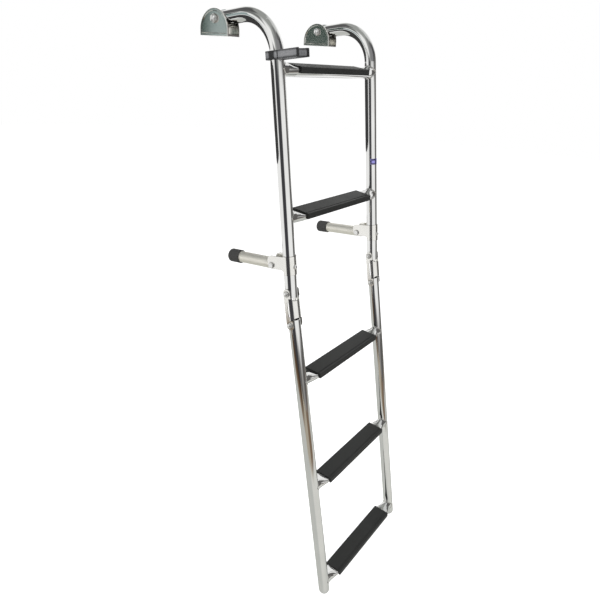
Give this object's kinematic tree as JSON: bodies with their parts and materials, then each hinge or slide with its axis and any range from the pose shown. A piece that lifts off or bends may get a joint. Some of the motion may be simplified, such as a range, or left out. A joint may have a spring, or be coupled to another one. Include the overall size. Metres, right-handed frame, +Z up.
{
  "type": "folding swim ladder",
  "caption": "Folding stainless swim ladder with hooked rails, flat padded treads, pivoting deck brackets, double-hinge links and fold-up standoffs.",
  "frame": {"origin": "on the flat underside of the deck brackets, at the centre of their four screw holes, halfway between the rails", "axes": "+Z up from the deck, +Y inboard over the deck, +X across the ladder to the right rail"},
  "size_m": [0.3657, 0.3873, 1.2302],
  "materials": {
    "polished_steel": "mirror polished",
    "satin_steel": "satin",
    "fastener_steel": "polished",
    "pad_plastic": "matt",
    "clip_plastic": "matt",
    "cap_rubber": "matt"
  },
  "bodies": {
    "deck_brackets": {"deck_bracket_left": "polished_steel", "deck_bracket_right": "polished_steel", "bracket_bolt_left": "fastener_steel", "bracket_bolt_right": "fastener_steel"},
    "upper_section": {"upper_rail_left": "polished_steel", "upper_rail_right": "polished_steel", "standoff_bracket_left": "satin_steel", "standoff_bracket_right": "satin_steel", "clamp_bolt_left": "fastener_steel", "clamp_bolt_right": "fastener_steel", "standoff_bolt_left": "fastener_steel", "standoff_bolt_right": "fastener_steel", "step_tube_1": "polished_steel", "step_pad_1": "pad_plastic", "step_tube_2": "polished_steel", "step_pad_2": "pad_plastic"},
    "links": {"hinge_link_left": "satin_steel", "hinge_link_right": "satin_steel", "upper_hinge_bolt_left": "fastener_steel", "upper_hinge_bolt_right": "fastener_steel", "lower_hinge_bolt_left": "fastener_steel", "lower_hinge_bolt_right": "fastener_steel"},
    "lower_section": {"lower_rail_left": "polished_steel", "lower_rail_right": "polished_steel", "step_tube_3": "polished_steel", "step_pad_3": "pad_plastic", "step_tube_4": "polished_steel", "step_pad_4": "pad_plastic", "step_tube_5": "polished_steel", "step_pad_5": "pad_plastic"},
    "standoff_left": {"standoff_tube_left": "satin_steel", "standoff_cap_left": "cap_rubber"},
    "standoff_right": {"standoff_tube_right": "satin_steel", "standoff_cap_right": "cap_rubber"},
    "clip": {"storage_clip": "clip_plastic"}
  },
  "joints": [
    {"name": "deck_pivot", "type": "hinge", "parent": "deck_brackets", "child": "upper_section", "pos_m": [0, -0.0015, 0.028], "axis": [-1, 0, 0], "range_deg": [0, 180]},
    {"name": "upper_fold", "type": "hinge", "parent": "upper_section", "child": "links", "pos_m": [0, -0.19446, -0.45226], "axis": [-1, 0, 0], "range_deg": [0, 86.5]},
    {"name": "lower_fold", "type": "hinge", "parent": "links", "child": "lower_section", "pos_m": [0, -0.20731, -0.51597], "axis": [-1, 0, 0], "range_deg": [0, 90.5]},
    {"name": "standoff_left_fold", "type": "hinge", "parent": "upper_section", "child": "standoff_left", "pos_m": [-0.161, -0.15331, -0.40238], "axis": [1, 0, 0], "range_deg": [0, 87]},
    {"name": "standoff_right_fold", "type": "hinge", "parent": "upper_section", "child": "standoff_right", "pos_m": [0.161, -0.15331, -0.40238], "axis": [1, 0, 0], "range_deg": [0, 87]},
    {"name": "clip_swivel", "type": "hinge", "parent": "upper_section", "child": "clip", "pos_m": [-0.161, -0.13617, -0.02673], "axis": [0, 0.1357, 0.9907], "range_deg": [-90, 40]}
  ]
}
